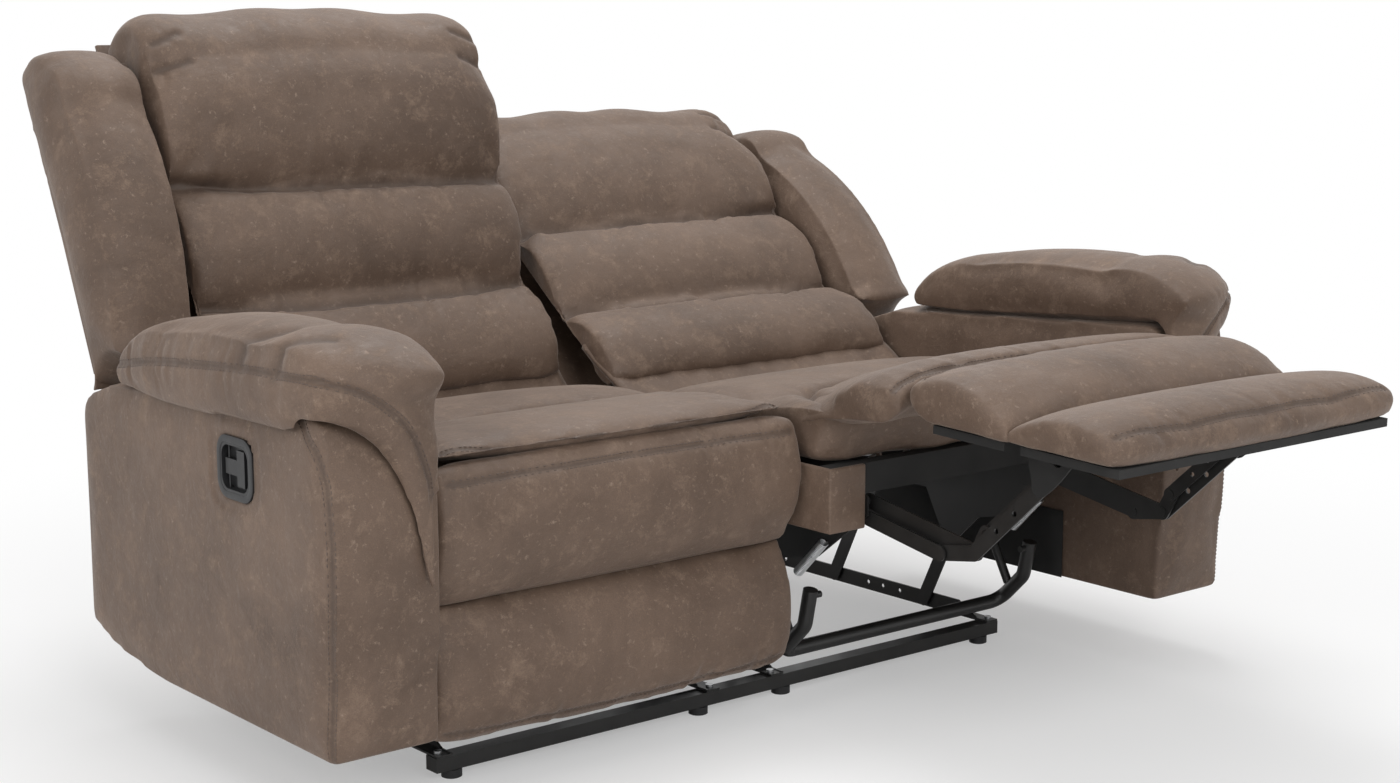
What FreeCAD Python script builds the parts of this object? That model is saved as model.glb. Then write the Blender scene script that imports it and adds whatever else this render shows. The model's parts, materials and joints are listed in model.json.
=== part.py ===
import FreeCAD, Part
import math
import os

# Two-seat reclining sofa, millimetres, +X to the viewer's right, -Y to the front, +Z up.
# One unit (seat, arm, back and footrest) is drawn closed on the +X side, with y = 0 at the front of its arm.
# The left unit is its mirror image, closed. The right unit is the same unit, reclined with its footrest out.

os.makedirs("parts", exist_ok=True)
V = FreeCAD.Vector

# Whole sofa
SEAT_INNER = 3.0
SEAT_OUTER = 597.0
ARM_INNER = 602.0
ARM_OUTER = 760.0
BACK_OUTER = 740.0

# Low steel base
PLATE_U = (79.0, 500.0)
FOOT_RADIUS = 14.0
FOOT_HEIGHT = 12.0
BAR_Z = 13.0
BAR_HEIGHT = 20.0
BAR_DEPTH = 26.0
BAR_HALF_LENGTH = 531.0
FRONT_BAR_Y = 126.0
REAR_BAR_Y = 690.0
RAIL_FOOT_Z = 33.0
RAIL_TOP_Z = 58.0
RAIL_THICK = 3.0
RAIL_FLANGE = 24.0
SWING_BASE_Z = 46.0

# Travel of one unit on its base
SHIFT = 130.0
SWING_LENGTH = 150.0
FRONT_SWING_Y = 330.0
REAR_SWING_Y = 545.0
RECLINE_DEG = 26.3
BACK_PIVOT = (573.0, 398.0)

# Footrest links: pivots with the footrest folded, and how far each link turns
P1 = (161.0, 307.0)
P2 = (102.0, 317.0)
K1 = (251.0, 167.0)
Q1 = (310.0, 157.0)
Q2 = (236.0, 137.0)
M1 = (135.0, 275.0)
M2 = (91.2, 243.7)
TURN_A = -125.0
TURN_B = -125.0
TURN_C = 0.0
TURN_D = -6.0
TURN_REST = -88.0

# Mechanism sheet steel, in layers counted from the outer face of a side plate towards the seat's middle
STEEL = 3.0
LAYER_PLATE = 0.0
LAYER_A = 4.5
LAYER_C = 10.0
LAYER_B = 15.5
LAYER_D = 21.0
LAYER_SWING = -4.5
LAYER_RAIL = -9.0
PIN_RADIUS = 4.5
HEAD_RADIUS = 8.0
HEAD = 1.2
LINK_HALF = 11.0
PIVOT_GAP = 0.6
OPEN_PIVOT_GAP = 4.5

# Wooden frames
WOOD = 25.0
BOX_LOW = 332.0
BOX_TOP = 375.0
BOX_FRONT = 92.0
BOX_REAR = 495.0


def wire_at(u, outline):
    # Closed outline in (y, z) at x = u. A corner is (y, z), and a corner reached by an arc is
    # (y, z, bulge), where bulge is the arc's height to the left of its chord.
    edges = []
    count = len(outline)
    for i in range(count):
        start = outline[i - 1]
        end = outline[i]
        a = V(u, start[0], start[1])
        b = V(u, end[0], end[1])
        if len(end) == 3 and abs(end[2]) > 0.01:
            along = b - a
            side = V(0, -along.z, along.y)
            side.normalize()
            middle = (a + b) * 0.5 + side * end[2]
            edges.append(Part.Arc(a, middle, b).toShape())
        else:
            edges.append(Part.makeLine(a, b))
    return Part.Wire(edges)


def prism(outline, u0, u1):
    face = Part.Face(wire_at(u0, outline))
    return face.extrude(V(u1 - u0, 0, 0))


def box(u0, u1, y0, y1, z0, z1):
    return Part.makeBox(u1 - u0, y1 - y0, z1 - z0, V(u0, y0, z0))


def shrunk(outline, centre, ky, kz):
    # The outline drawn in towards a centre, with its arcs kept in proportion.
    result = []
    for p in outline:
        y = centre[0] + (p[0] - centre[0]) * ky
        z = centre[1] + (p[1] - centre[1]) * kz
        if len(p) == 3:
            result.append((y, z, p[2] * (ky + kz) / 2))
        else:
            result.append((y, z))
    return result


def cushion(outline, centre, u0, u1, tip=0.8):
    # A stuffed form, full in its middle, whose outline draws in towards both ends.
    middle = (u0 + u1) / 2
    half = (u1 - u0) / 2
    wires = []
    for i in range(9):
        angle = math.pi * i / 8
        fullness = math.sqrt(math.sin(angle)) if 0 < i < 8 else 0.0
        k = tip + (1 - tip) * fullness
        wires.append(wire_at(middle - half * math.cos(angle), shrunk(outline, centre, k, k)))
    return Part.makeLoft(wires, True, False)


def rod(u0, u1, point, radius):
    return Part.makeCylinder(radius, u1 - u0, V(u0, point[0], point[1]), V(1, 0, 0))


def capsule(p, q, half, u0, u1):
    # A flat link with round ends.
    length = math.hypot(q[0] - p[0], q[1] - p[1])
    ny = -(q[1] - p[1]) / length * half
    nz = (q[0] - p[0]) / length * half
    outline = [
        (p[0] - ny, p[1] - nz),
        (q[0] - ny, q[1] - nz),
        (q[0] + ny, q[1] + nz, -half),
        (p[0] + ny, p[1] + nz),
    ]
    outline[0] = (outline[0][0], outline[0][1], -half)
    return prism(outline, u0, u1)


def mech(plate, low, high):
    # Range in x of a layer, at the inner or the outer side plate.
    if plate == 0:
        return PLATE_U[0] + low, PLATE_U[0] + high
    return PLATE_U[1] - high, PLATE_U[1] - low


def sheet(plate, layer, corners):
    low, high = mech(plate, layer, layer + STEEL)
    return prism(corners, low, high)


def link(plate, layer, pivots, half=LINK_HALF):
    # Sheet link through its pivots in turn, joined where it bends.
    low, high = mech(plate, layer, layer + STEEL)
    body = None
    for p, q in zip(pivots, pivots[1:]):
        piece = capsule(p, q, half, low, high)
        body = piece if body is None else body.fuse(piece)
    return body.removeSplitter()


def bored(body, plate, layer, point, radius):
    low, high = mech(plate, layer - 1, layer + STEEL + 1)
    return body.cut(rod(low, high, point, radius))


def pivot_pin(plate, first, last, point, first_head=True, last_head=True):
    # A rivet from the outer face of one layer to the inner face of another, with its heads.
    low, high = mech(plate, first, last)
    body = rod(low, high, point, PIN_RADIUS)
    if first_head:
        a, b = mech(plate, first - HEAD, first)
        body = body.fuse(rod(a, b, point, HEAD_RADIUS))
    if last_head:
        a, b = mech(plate, last, last + HEAD)
        body = body.fuse(rod(a, b, point, HEAD_RADIUS))
    return body


def group(pieces):
    solids = []
    for piece in pieces:
        solids.extend(piece.Solids)
    return Part.makeCompound(solids)


# Steel base

def make_rails():
    rails = []
    for side in (-1, 1):
        for plate in (0, 1):
            low, high = mech(plate, LAYER_RAIL, LAYER_RAIL + RAIL_THICK)
            web = [
                (126.0, RAIL_FOOT_Z),
                (716.0, RAIL_FOOT_Z),
                (716.0, RAIL_FOOT_Z + 4),
                (650.0, RAIL_TOP_Z),
                (190.0, RAIL_TOP_Z),
                (150.0, RAIL_FOOT_Z + 4),
                (126.0, RAIL_FOOT_Z + 4),
            ]
            rail = prism(web, low, high)
            outer = LAYER_RAIL - RAIL_FLANGE + RAIL_THICK
            a, b = mech(plate, outer, LAYER_RAIL)
            rail = rail.fuse(box(a, b, 126.0, 716.0, RAIL_FOOT_Z, RAIL_FOOT_Z + RAIL_THICK))
            for y in (270.0, 325.0, 365.0, 400.0, 560.0, 610.0):
                rail = rail.cut(rod(low - 1, high + 1, (y, SWING_BASE_Z), 4.0))
            for y in (FRONT_SWING_Y - SHIFT / 2, REAR_SWING_Y - SHIFT / 2):
                rail = rail.cut(rod(low - 1, high + 1, (y, SWING_BASE_Z), PIN_RADIUS + 0.3))
            rails.append(rail if side > 0 else rail.mirror(V(0, 0, 0), V(1, 0, 0)))
    return rails


def make_bar(y):
    # Flat steel tube across the base, with a 2 mm wall and closed ends.
    outer = box(-BAR_HALF_LENGTH, BAR_HALF_LENGTH, y, y + BAR_DEPTH, BAR_Z, BAR_Z + BAR_HEIGHT - 0.3)
    inner = box(-BAR_HALF_LENGTH + 2, BAR_HALF_LENGTH - 2, y + 2, y + BAR_DEPTH - 2, BAR_Z + 2, BAR_Z + BAR_HEIGHT - 2.3)
    return outer.cut(inner)


def foot_places():
    places = []
    for x in (-PLATE_U[1], -PLATE_U[0], PLATE_U[0], PLATE_U[1]):
        for y in (FRONT_BAR_Y, REAR_BAR_Y):
            places.append((x, y + BAR_DEPTH / 2))
    return places


def make_feet():
    feet = []
    for x, y in foot_places():
        foot = Part.makeCylinder(FOOT_RADIUS, FOOT_HEIGHT - 1, V(x, y, 1.0))
        foot = foot.fuse(Part.makeCone(FOOT_RADIUS - 2, FOOT_RADIUS, 1.0, V(x, y, 0)))
        feet.append(foot.removeSplitter())
    return feet


def make_base_bolts():
    bolts = []
    for side in (-1, 1):
        for plate in (0, 1):
            a, b = mech(plate, LAYER_RAIL - RAIL_FLANGE / 2, LAYER_RAIL - RAIL_FLANGE / 2)
            for y in (FRONT_BAR_Y, REAR_BAR_Y):
                centre = V(side * a, y + BAR_DEPTH / 2, RAIL_FOOT_Z + RAIL_THICK + 0.1)
                bolts.append(Part.makeCylinder(5.5, 3.5, centre))
    return bolts


# One unit: steel mechanism

def swing_links(y):
    # Both links of a pair, on the base pivot and the carriage pivot.
    foot = (y - SHIFT / 2, SWING_BASE_Z)
    head = (y, SWING_BASE_Z + math.sqrt(SWING_LENGTH ** 2 - (SHIFT / 2) ** 2))
    pieces = []
    for plate in (0, 1):
        body = link(plate, LAYER_SWING, [foot, head], 12.0)
        body = bored(body, plate, LAYER_SWING, head, PIN_RADIUS + PIVOT_GAP)
        pin = pivot_pin(plate, LAYER_RAIL, LAYER_SWING + STEEL, foot, True, False)
        pieces.append(body.fuse(pin))
    return pieces


def swing_head(y):
    return (y, SWING_BASE_Z + math.sqrt(SWING_LENGTH ** 2 - (SHIFT / 2) ** 2))


def make_side_plates():
    plates = []
    front_head = swing_head(FRONT_SWING_Y)
    rear_head = swing_head(REAR_SWING_Y)
    outline = [
        (88.0, 300.0),
        (130.0, 268.0),
        (190.0, 222.0),
        (270.0, 205.0),
        (312.0, 166.0),
        (350.0, 166.0, -6.0),
        (388.0, 235.0),
        (490.0, 235.0),
        (527.0, 166.0),
        (563.0, 166.0, -6.0),
        (578.0, 300.0),
        (592.0, 385.0),
        (586.0, 412.0, -8.0),
        (556.0, 412.0, -6.0),
        (520.0, 329.0),
        (468.0, 329.0),
        (468.0, 372.0),
        (119.0, 372.0),
        (119.0, 330.0),
        (92.0, 330.0),
        (88.0, 326.0),
    ]
    for plate in (0, 1):
        body = sheet(plate, LAYER_PLATE, outline)
        for y, z in ((170.0, 350.0), (300.0, 350.0), (430.0, 350.0)):
            body = bored(body, plate, LAYER_PLATE, (y, z), 4.0)
        for y, z in ((330.0, 290.0), (420.0, 290.0), (500.0, 270.0)):
            body = bored(body, plate, LAYER_PLATE, (y, z), 9.0)
        for point in (P1, P2, BACK_PIVOT):
            body = bored(body, plate, LAYER_PLATE, point, PIN_RADIUS + PIVOT_GAP)
        for head in (front_head, rear_head):
            body = body.fuse(pivot_pin(plate, LAYER_SWING, STEEL, head, True, False))
        plates.append(body)
    return plates


def tube_path(points, radius, bend):
    # A round tube through straight runs joined by tangent arcs.
    pts = [V(*p) for p in points]
    edges = []
    start = pts[0]
    for i in range(1, len(pts) - 1):
        before = (pts[i - 1] - pts[i]).normalize()
        after = (pts[i + 1] - pts[i]).normalize()
        half = before.getAngle(after) / 2
        reach = bend / math.tan(half)
        a = pts[i] + before * reach
        b = pts[i] + after * reach
        middle_dir = (before + after).normalize()
        centre = pts[i] + middle_dir * (bend / math.sin(half))
        middle = centre - middle_dir * bend
        edges.append(Part.makeLine(start, a))
        edges.append(Part.Arc(a, middle, b).toShape())
        start = b
    edges.append(Part.makeLine(start, pts[-1]))
    path = Part.Wire(edges)
    ring = Part.Wire(Part.makeCircle(radius, pts[0], pts[1] - pts[0]))
    return path.makePipeShell([ring], True, False)


def make_cross_tube():
    # Bent round tube under the seat, with a strut at each end.
    low = PLATE_U[0] + LAYER_SWING - 16.0
    high = PLATE_U[1] - LAYER_SWING + 16.0
    points = [
        (low, 182.0, 178.0),
        (low, 194.0, 122.0),
        (low, 244.0, 72.0),
        (high, 244.0, 72.0),
        (high, 194.0, 122.0),
        (high, 182.0, 178.0),
    ]
    tube = tube_path(points, 11.0, 22.0)
    pieces = [tube]
    for u in (low, high):
        strut = Part.makeCylinder(7.0, 92.0, V(u, 226.0, 104.0), V(0, 0.55, 1.0))
        pieces.append(strut)
        bolt_end = PLATE_U[0] - 0.3 if u == low else PLATE_U[1] + 0.3
        pieces.append(rod(min(u, bolt_end), max(u, bolt_end), (184.0, 168.0), 5.0))
    body = pieces[0]
    for piece in pieces[1:]:
        body = body.fuse(piece)
    return [body]


def make_link_a():
    # Rear footrest links. Their front pins run in roomy holes in link_c.
    pieces = []
    for plate in (0, 1):
        body = link(plate, LAYER_A, [P1, Q1])
        body = body.fuse(pivot_pin(plate, LAYER_PLATE, LAYER_A + STEEL, P1))
        body = body.fuse(pivot_pin(plate, LAYER_A, LAYER_C + STEEL, Q1, False, True))
        pieces.append(body)
    return pieces


def make_link_b():
    # Front footrest links, which carry link_c and link_d.
    pieces = []
    for plate in (0, 1):
        body = link(plate, LAYER_B, [P2, K1, Q2])
        body = bored(body, plate, LAYER_B, K1, PIN_RADIUS + PIVOT_GAP)
        body = bored(body, plate, LAYER_B, Q2, PIN_RADIUS + PIVOT_GAP)
        body = body.fuse(pivot_pin(plate, LAYER_PLATE, LAYER_B + STEEL, P2))
        pieces.append(body)
    return pieces


def make_link_c():
    pieces = []
    for plate in (0, 1):
        body = link(plate, LAYER_C, [Q1, K1, M1])
        body = bored(body, plate, LAYER_C, Q1, PIN_RADIUS + PIVOT_GAP)
        body = bored(body, plate, LAYER_C, M1, PIN_RADIUS + PIVOT_GAP)
        for k in (0.35, 0.62):
            hole = (K1[0] + (M1[0] - K1[0]) * k, K1[1] + (M1[1] - K1[1]) * k)
            body = bored(body, plate, LAYER_C, hole, 4.0)
        body = body.fuse(pivot_pin(plate, LAYER_C, LAYER_B + STEEL, K1, False, True))
        pieces.append(body)
    return pieces


def make_link_d():
    # Upper links. Their front pins run in roomy holes in the footrest's brackets.
    pieces = []
    for plate in (0, 1):
        body = link(plate, LAYER_D, [Q2, M2], 10.0)
        for k in (0.3, 0.5, 0.7):
            hole = (Q2[0] + (M2[0] - Q2[0]) * k, Q2[1] + (M2[1] - Q2[1]) * k)
            body = bored(body, plate, LAYER_D, hole, 3.5)
        body = body.fuse(pivot_pin(plate, LAYER_B, LAYER_D + STEEL, Q2, False, True))
        body = body.fuse(pivot_pin(plate, LAYER_A - 0.7, LAYER_D + STEEL, M2, False, True))
        pieces.append(body)
    return pieces


def least_gap(points, apart, wire):
    # Least gap of a wire to itself, from points along it that lie at least "apart" places from each other.
    least = 1e9
    for i, p in enumerate(points):
        for q in points[i + apart:]:
            least = min(least, (p - q).Length)
    return least - 2 * wire


def make_springs():
    # A close-wound extension spring beside each plate, hooked between two pins.
    pieces = []
    wire = 1.1
    pitch = 3.0
    coils = 26
    radius = 6.5
    for plate in (0, 1):
        a, b = mech(plate, -16.0, -16.0)
        length = pitch * coils
        path = []
        for i in range(coils * 2):
            points = []
            for k in range(3):
                t = (i + k / 2) / 2
                angle = 2 * math.pi * t
                points.append(V(radius * math.cos(angle), radius * math.sin(angle), pitch * t))
            path.append(Part.Arc(points[0], points[1], points[2]).toShape())
        coil_path = Part.Wire(path)
        if plate == 0:
            centres = coil_path.discretize(Number=coils * 24)
            print("tension spring, least gap to itself", round(least_gap(centres, 12, wire), 3))
        first = coil_path.Edges[0]
        ring = Part.Wire(Part.makeCircle(wire, first.valueAt(first.FirstParameter), first.tangentAt(first.FirstParameter)))
        coil = coil_path.makePipeShell([ring], True, False)
        coil.rotate(V(0, 0, 0), V(1, 0, 0), 45.0)
        coil.translate(V(a, 160.0 + length * 0.7071, 196.0))
        pieces.append(coil)
    return pieces


# One unit: seat

def make_seat_box():
    pieces = []
    for plate in (0, 1):
        low, high = mech(plate, -30.0, -0.3)
        pieces.append(box(low, high, BOX_FRONT + WOOD, BOX_REAR - WOOD, BOX_LOW, BOX_TOP))
    body = box(14.0, 601.0, BOX_FRONT, BOX_FRONT + WOOD, BOX_LOW, BOX_TOP)
    body = body.fuse(box(14.0, 601.0, BOX_REAR - WOOD, BOX_REAR, BOX_LOW, BOX_TOP))
    for piece in pieces:
        body = body.fuse(piece)
    return [body]


def make_seat_springs():
    # Sinuous springs from the front rail to the rear rail.
    pieces = []
    wire = 1.8
    for x in (150.0, 220.0, 290.0, 360.0, 430.0):
        y = BOX_FRONT + WOOD + 2
        step = 14.0
        half = 18.0
        points = [V(x, y, 366.0)]
        side = 1
        while y < BOX_REAR - WOOD - 2 * step:
            y += step
            points.append(V(x + side * half, y, 366.0))
            side = -side
        points.append(V(x, BOX_REAR - WOOD - 2, 366.0))
        pieces.append(tube_path([tuple(p) for p in points], wire, 4.0))
    return pieces


def make_seat_cushion():
    outline = [
        (524.0, 378.0),
        (538.0, 398.0, -3.0),
        (528.0, 421.0, -4.0),
        (288.0, 440.0, -10.0),
        (278.0, 434.0),
        (268.0, 440.0),
        (70.0, 466.0, -10.0),
        (18.0, 455.0, -6.0),
        (84.0, 444.0, -2.0),
        (96.0, 378.0),
    ]
    return [cushion(outline, (330.0, 400.0), SEAT_INNER, SEAT_OUTER, 0.88)]


def make_box_flap():
    outline = [(84.0, 284.0), (500.0, 284.0), (500.0, 376.0), (84.0, 376.0)]
    side = prism(outline, 4.0, 12.0)
    wrap = box(4.0, 72.0, 84.0, 91.5, 284.0, 376.0)
    return [side.fuse(wrap)]


# One unit: footrest

def make_boards():
    lower = box(22.0, 578.0, 66.5, 78.0, 92.0, 252.0)
    upper = box(22.0, 578.0, 66.5, 78.0, 280.0, 406.0)
    brackets = []
    for plate in (0, 1):
        low, high = mech(plate, LAYER_A, LAYER_A + STEEL)
        outline = [
            (78.0, 206.0),
            (98.0, 222.0),
            (143.0, 264.0, -2.0),
            (129.0, 285.0, -9.0),
            (78.0, 300.0),
        ]
        ear = bored(prism(outline, low, high), plate, LAYER_A, M2, PIN_RADIUS + OPEN_PIVOT_GAP)
        flange_low, flange_high = mech(plate, LAYER_A, LAYER_A + 22.0)
        ear = ear.fuse(box(flange_low, flange_high, 78.0, 80.0, 262.0, 330.0))
        ear = ear.fuse(pivot_pin(plate, LAYER_A, LAYER_C + STEEL, M1, False, True))
        brackets.append(ear)
    return lower, upper, brackets


def make_footrest_pad():
    outline = [
        (66.0, 84.0),
        (66.0, 263.0),
        (46.0, 263.0),
        (24.0, 92.0, -20.0),
        (50.0, 76.0, -5.0),
    ]
    return [cushion(outline, (60.0, 240.0), SEAT_INNER, SEAT_OUTER, 0.9)]


def make_legrest_pad():
    outline = [
        (66.0, 264.0),
        (66.0, 414.0),
        (44.0, 440.0, -3.0),
        (10.0, 438.0, -5.0),
        (44.0, 264.0, -32.0),
    ]
    return [cushion(outline, (60.0, 290.0), SEAT_INNER, SEAT_OUTER, 0.9)]


# One unit: arm

ARM_OUTLINE = [
    (-2.0, 100.0),
    (450.0, 100.0),
    (600.0, 119.0),
    (664.0, 142.0),
    (674.0, 160.0, -3.0),
    (674.0, 430.0),
    (618.0, 482.0, -18.0),
    (568.0, 500.0, -3.0),
    (400.0, 504.0),
    (40.0, 530.0),
    (6.0, 505.0, -10.0),
    (-16.0, 345.0, -6.0),
]


def make_arm_cover():
    outer = prism(ARM_OUTLINE, ARM_INNER, ARM_OUTER)
    inner = shrunk(ARM_OUTLINE, (330.0, 310.0), 0.93, 0.9)
    hollow = prism(inner, ARM_INNER + 16, ARM_OUTER - 16)
    low_opening = box(ARM_INNER - 1, ARM_INNER + 17, 190.0, 640.0, 90.0, 210.0)
    recess = prism(shrunk(BEZEL_OUTLINE, HANDLE, 1.01, 1.01), ARM_OUTER - 10.3, ARM_OUTER + 1.0)
    return [outer.cut(hollow).cut(low_opening).cut(recess)]


def make_arm_frame():
    posts = []
    for y in (60.0, 560.0):
        posts.append(box(ARM_INNER + 20, ARM_OUTER - 20, y, y + WOOD, 150.0, 430.0))
    rail_top = box(ARM_INNER + 20, ARM_OUTER - 20, 60.0, 560.0 + WOOD, 430.0, 455.0)
    body = rail_top
    for post in posts:
        body = body.fuse(post)
    side = box(ARM_INNER + 20, ARM_INNER + 38, 60.0, 585.0, 300.0, 350.0)
    return [body.fuse(side).removeSplitter()]


def make_arm_pad():
    # The pad sits over the arm and droops over its front. Towards the seat the droop is deeper, and it
    # runs down the arm's inner front edge as a tapering strip.
    u0 = ARM_INNER - 1.0
    u1 = ARM_OUTER + 14.0
    wires = []
    for i in range(13):
        t = (1 - math.cos(math.pi * i / 12)) / 2
        k = 0.9 + 0.1 * math.sqrt(math.sin(math.pi * t)) if 0 < i < 12 else 0.9
        low = 288.0 + 236.0 * (1 - math.exp(-max(t - 0.2, 0.0) / 0.2))
        front = -62.0 + 46.0 * t
        outline = [
            (545.0, 498.0),
            (562.0, 525.0, -6.0),
            (400.0, 600.0, -22.0),
            (120.0, 614.0, -8.0),
            (front, 578.0, -24.0),
            (front * 0.45 - 9.0, 538.0, -5.0),
            (front * 0.45 - 7.0, low + 8.0),
            (front * 0.3 - 3.0, low),
            (30.0, low),
            (30.0, 500.0),
            (400.0, 486.0),
        ]
        wires.append(wire_at(u0 + (u1 - u0) * t, shrunk(outline, (250.0, 520.0), k, k)))
    pad = Part.makeLoft(wires, True, False)
    arm = prism(shrunk(ARM_OUTLINE, (330.0, 310.0), 1.003, 1.004), ARM_INNER - 2.0, ARM_OUTER + 0.6)
    body = pad.cut(arm)
    return [max(body.Solids, key=lambda solid: solid.Volume)]


# One unit: back

def make_back_frame():
    # Two stiles and three rails, all 29 mm thick and leaning with the back.
    outline = [(646.0, 470.0), (866.0, 893.0), (840.0, 905.0), (620.0, 482.0)]
    body = prism(outline, PLATE_U[0] - 0.5, PLATE_U[0] + 39.0)
    body = body.fuse(prism(outline, PLATE_U[1] - 39.0, PLATE_U[1] + 0.5))
    for z in (500.0, 680.0, 830.0):
        y = outline[0][0] + (z - outline[0][1]) * 0.52
        rail = [(y, z), (y + 22.0, z + 42.0), (y - 4.0, z + 55.0), (y - 26.0, z + 13.0)]
        body = body.fuse(prism(rail, PLATE_U[0] + 30.0, PLATE_U[1] - 30.0))
    return [body.removeSplitter()]


def make_back_cushion():
    outline = [
        (606.0, 440.0),
        (615.0, 482.0),
        (850.0, 939.0),
        (884.0, 925.0),
        (925.0, 950.0, -6.0),
        (830.0, 998.0, -20.0),
        (762.0, 930.0, -18.0),
        (716.0, 750.0, -28.0),
        (724.0, 742.0),
        (706.0, 738.0),
        (655.0, 590.0, -24.0),
        (656.0, 581.0),
        (644.0, 574.0),
        (546.0, 436.0, -28.0),
        (584.0, 420.0, -6.0),
    ]
    return [cushion(outline, (720.0, 540.0), 6.0, 594.0, 0.92)]


def make_back_wing():
    outline = [
        (592.0, 516.0),
        (683.0, 430.0, 34.0),
        (694.0, 500.0),
        (780.0, 668.0),
        (899.0, 898.0),
        (884.0, 926.0, -8.0),
        (800.0, 934.0, -16.0),
        (736.0, 870.0, -20.0),
        (606.0, 560.0, -30.0),
    ]
    return [cushion(outline, (740.0, 720.0), 600.0, BACK_OUTER, 0.88)]


def make_back_panel():
    rear = [
        (654.0, 236.0),
        (664.0, 236.0),
        (712.0, 488.0),
        (800.0, 676.0),
        (938.0, 944.0),
        (930.0, 946.0),
        (791.0, 680.0),
        (702.0, 490.0),
    ]
    body = prism(rear, 10.0, 592.0)
    behind_wing = [
        (712.0, 488.0),
        (800.0, 676.0),
        (898.0, 872.0),
        (890.0, 874.0),
        (791.0, 680.0),
        (702.0, 490.0),
    ]
    return [body.fuse(prism(behind_wing, 592.0, BACK_OUTER - 22)).removeSplitter()]


def make_back_brackets():
    pieces = []
    for plate in (0, 1):
        body = link(plate, LAYER_SWING, [BACK_PIVOT, (626.0, 416.0), (652.0, 470.0), (694.0, 592.0)], 14.0)
        body = body.fuse(pivot_pin(plate, LAYER_SWING, STEEL, BACK_PIVOT, False, True))
        pieces.append(body)
    return pieces


# One unit: handle

HANDLE = (212.0, 437.0)
HANDLE_PIN = (ARM_OUTER - 3.2, 235.0)
BEZEL_OUTLINE = [
    (170.0, 420.0),
    (190.0, 400.0, -6.0),
    (234.0, 400.0),
    (254.0, 420.0, -6.0),
    (254.0, 454.0),
    (234.0, 474.0, -6.0),
    (190.0, 474.0),
    (170.0, 454.0, -6.0),
]


def make_bezel():
    # A cup let into the arm's outer panel, with the handle's upright pin across it.
    body = prism(BEZEL_OUTLINE, ARM_OUTER - 10.0, ARM_OUTER + 2.5)
    pocket = shrunk(BEZEL_OUTLINE, HANDLE, 0.8, 0.76)
    body = body.cut(prism(pocket, ARM_OUTER - 8.0, ARM_OUTER + 3.0))
    pin = Part.makeCylinder(1.2, 60.0, V(HANDLE_PIN[0], HANDLE_PIN[1], HANDLE[1] - 30.0))
    return [body.fuse(pin)]


def make_handle():
    # A T-shaped lever: wide paddle in front, stem on the pin behind.
    outline = [
        (192.0, 414.0),
        (211.0, 414.0),
        (211.0, 427.0),
        (241.0, 427.0),
        (241.0, 447.0),
        (211.0, 447.0),
        (211.0, 460.0),
        (192.0, 460.0),
    ]
    body = prism(outline, ARM_OUTER - 6.0, ARM_OUTER - 0.4)
    hole = Part.makeCylinder(1.7, 60.0, V(HANDLE_PIN[0], HANDLE_PIN[1], HANDLE[1] - 30.0))
    return [body.cut(hole)]


# Poses of the unit's bodies

def carriage_pose(shape):
    shape.translate(V(0, -SHIFT, 0))


def turn_then(shape, point, deg):
    shape.rotate(V(0, point[0], point[1]), V(1, 0, 0), deg)


def swing_pose(y):
    def pose(shape):
        angle = 2 * math.degrees(math.asin(SHIFT / 2 / SWING_LENGTH))
        turn_then(shape, (y - SHIFT / 2, SWING_BASE_Z), angle)
    return pose


def back_pose(shape):
    turn_then(shape, BACK_PIVOT, -RECLINE_DEG)
    carriage_pose(shape)


def link_a_pose(shape):
    turn_then(shape, P1, TURN_A)
    carriage_pose(shape)


def link_b_pose(shape):
    turn_then(shape, P2, TURN_B)
    carriage_pose(shape)


def link_c_pose(shape):
    turn_then(shape, K1, TURN_C - TURN_B)
    link_b_pose(shape)


def link_d_pose(shape):
    turn_then(shape, Q2, TURN_D - TURN_B)
    link_b_pose(shape)


def footrest_pose(shape):
    turn_then(shape, M1, TURN_REST - TURN_C)
    link_c_pose(shape)


def make_unit():
    lower_board, upper_board, brackets = make_boards()
    lower = lower_board
    for bracket in brackets:
        lower = lower.fuse(bracket)
    return [
        ("front_swing_links", swing_links(FRONT_SWING_Y), swing_pose(FRONT_SWING_Y)),
        ("rear_swing_links", swing_links(REAR_SWING_Y), swing_pose(REAR_SWING_Y)),
        ("side_plates", make_side_plates(), carriage_pose),
        ("cross_tube", make_cross_tube(), carriage_pose),
        ("seat_box", make_seat_box(), carriage_pose),
        ("seat_springs", make_seat_springs(), carriage_pose),
        ("seat_cushion", make_seat_cushion(), carriage_pose),
        ("box_flap", make_box_flap(), carriage_pose),
        ("arm_frame", make_arm_frame(), carriage_pose),
        ("arm_cover", make_arm_cover(), carriage_pose),
        ("arm_pad", make_arm_pad(), carriage_pose),
        ("handle_bezel", make_bezel(), carriage_pose),
        ("release_handle", make_handle(), carriage_pose),
        ("tension_springs", make_springs(), carriage_pose),
        ("back_frame", make_back_frame(), back_pose),
        ("back_cushion", make_back_cushion(), back_pose),
        ("back_wing", make_back_wing(), back_pose),
        ("back_panel", make_back_panel(), back_pose),
        ("back_brackets", make_back_brackets(), back_pose),
        ("link_a", make_link_a(), link_a_pose),
        ("link_b", make_link_b(), link_b_pose),
        ("link_c", make_link_c(), link_c_pose),
        ("link_d", make_link_d(), link_d_pose),
        ("footrest_board", [lower], footrest_pose),
        ("footrest_pad", make_footrest_pad(), footrest_pose),
        ("legrest_board", [upper_board], footrest_pose),
        ("legrest_pad", make_legrest_pad(), footrest_pose),
    ]


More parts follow.
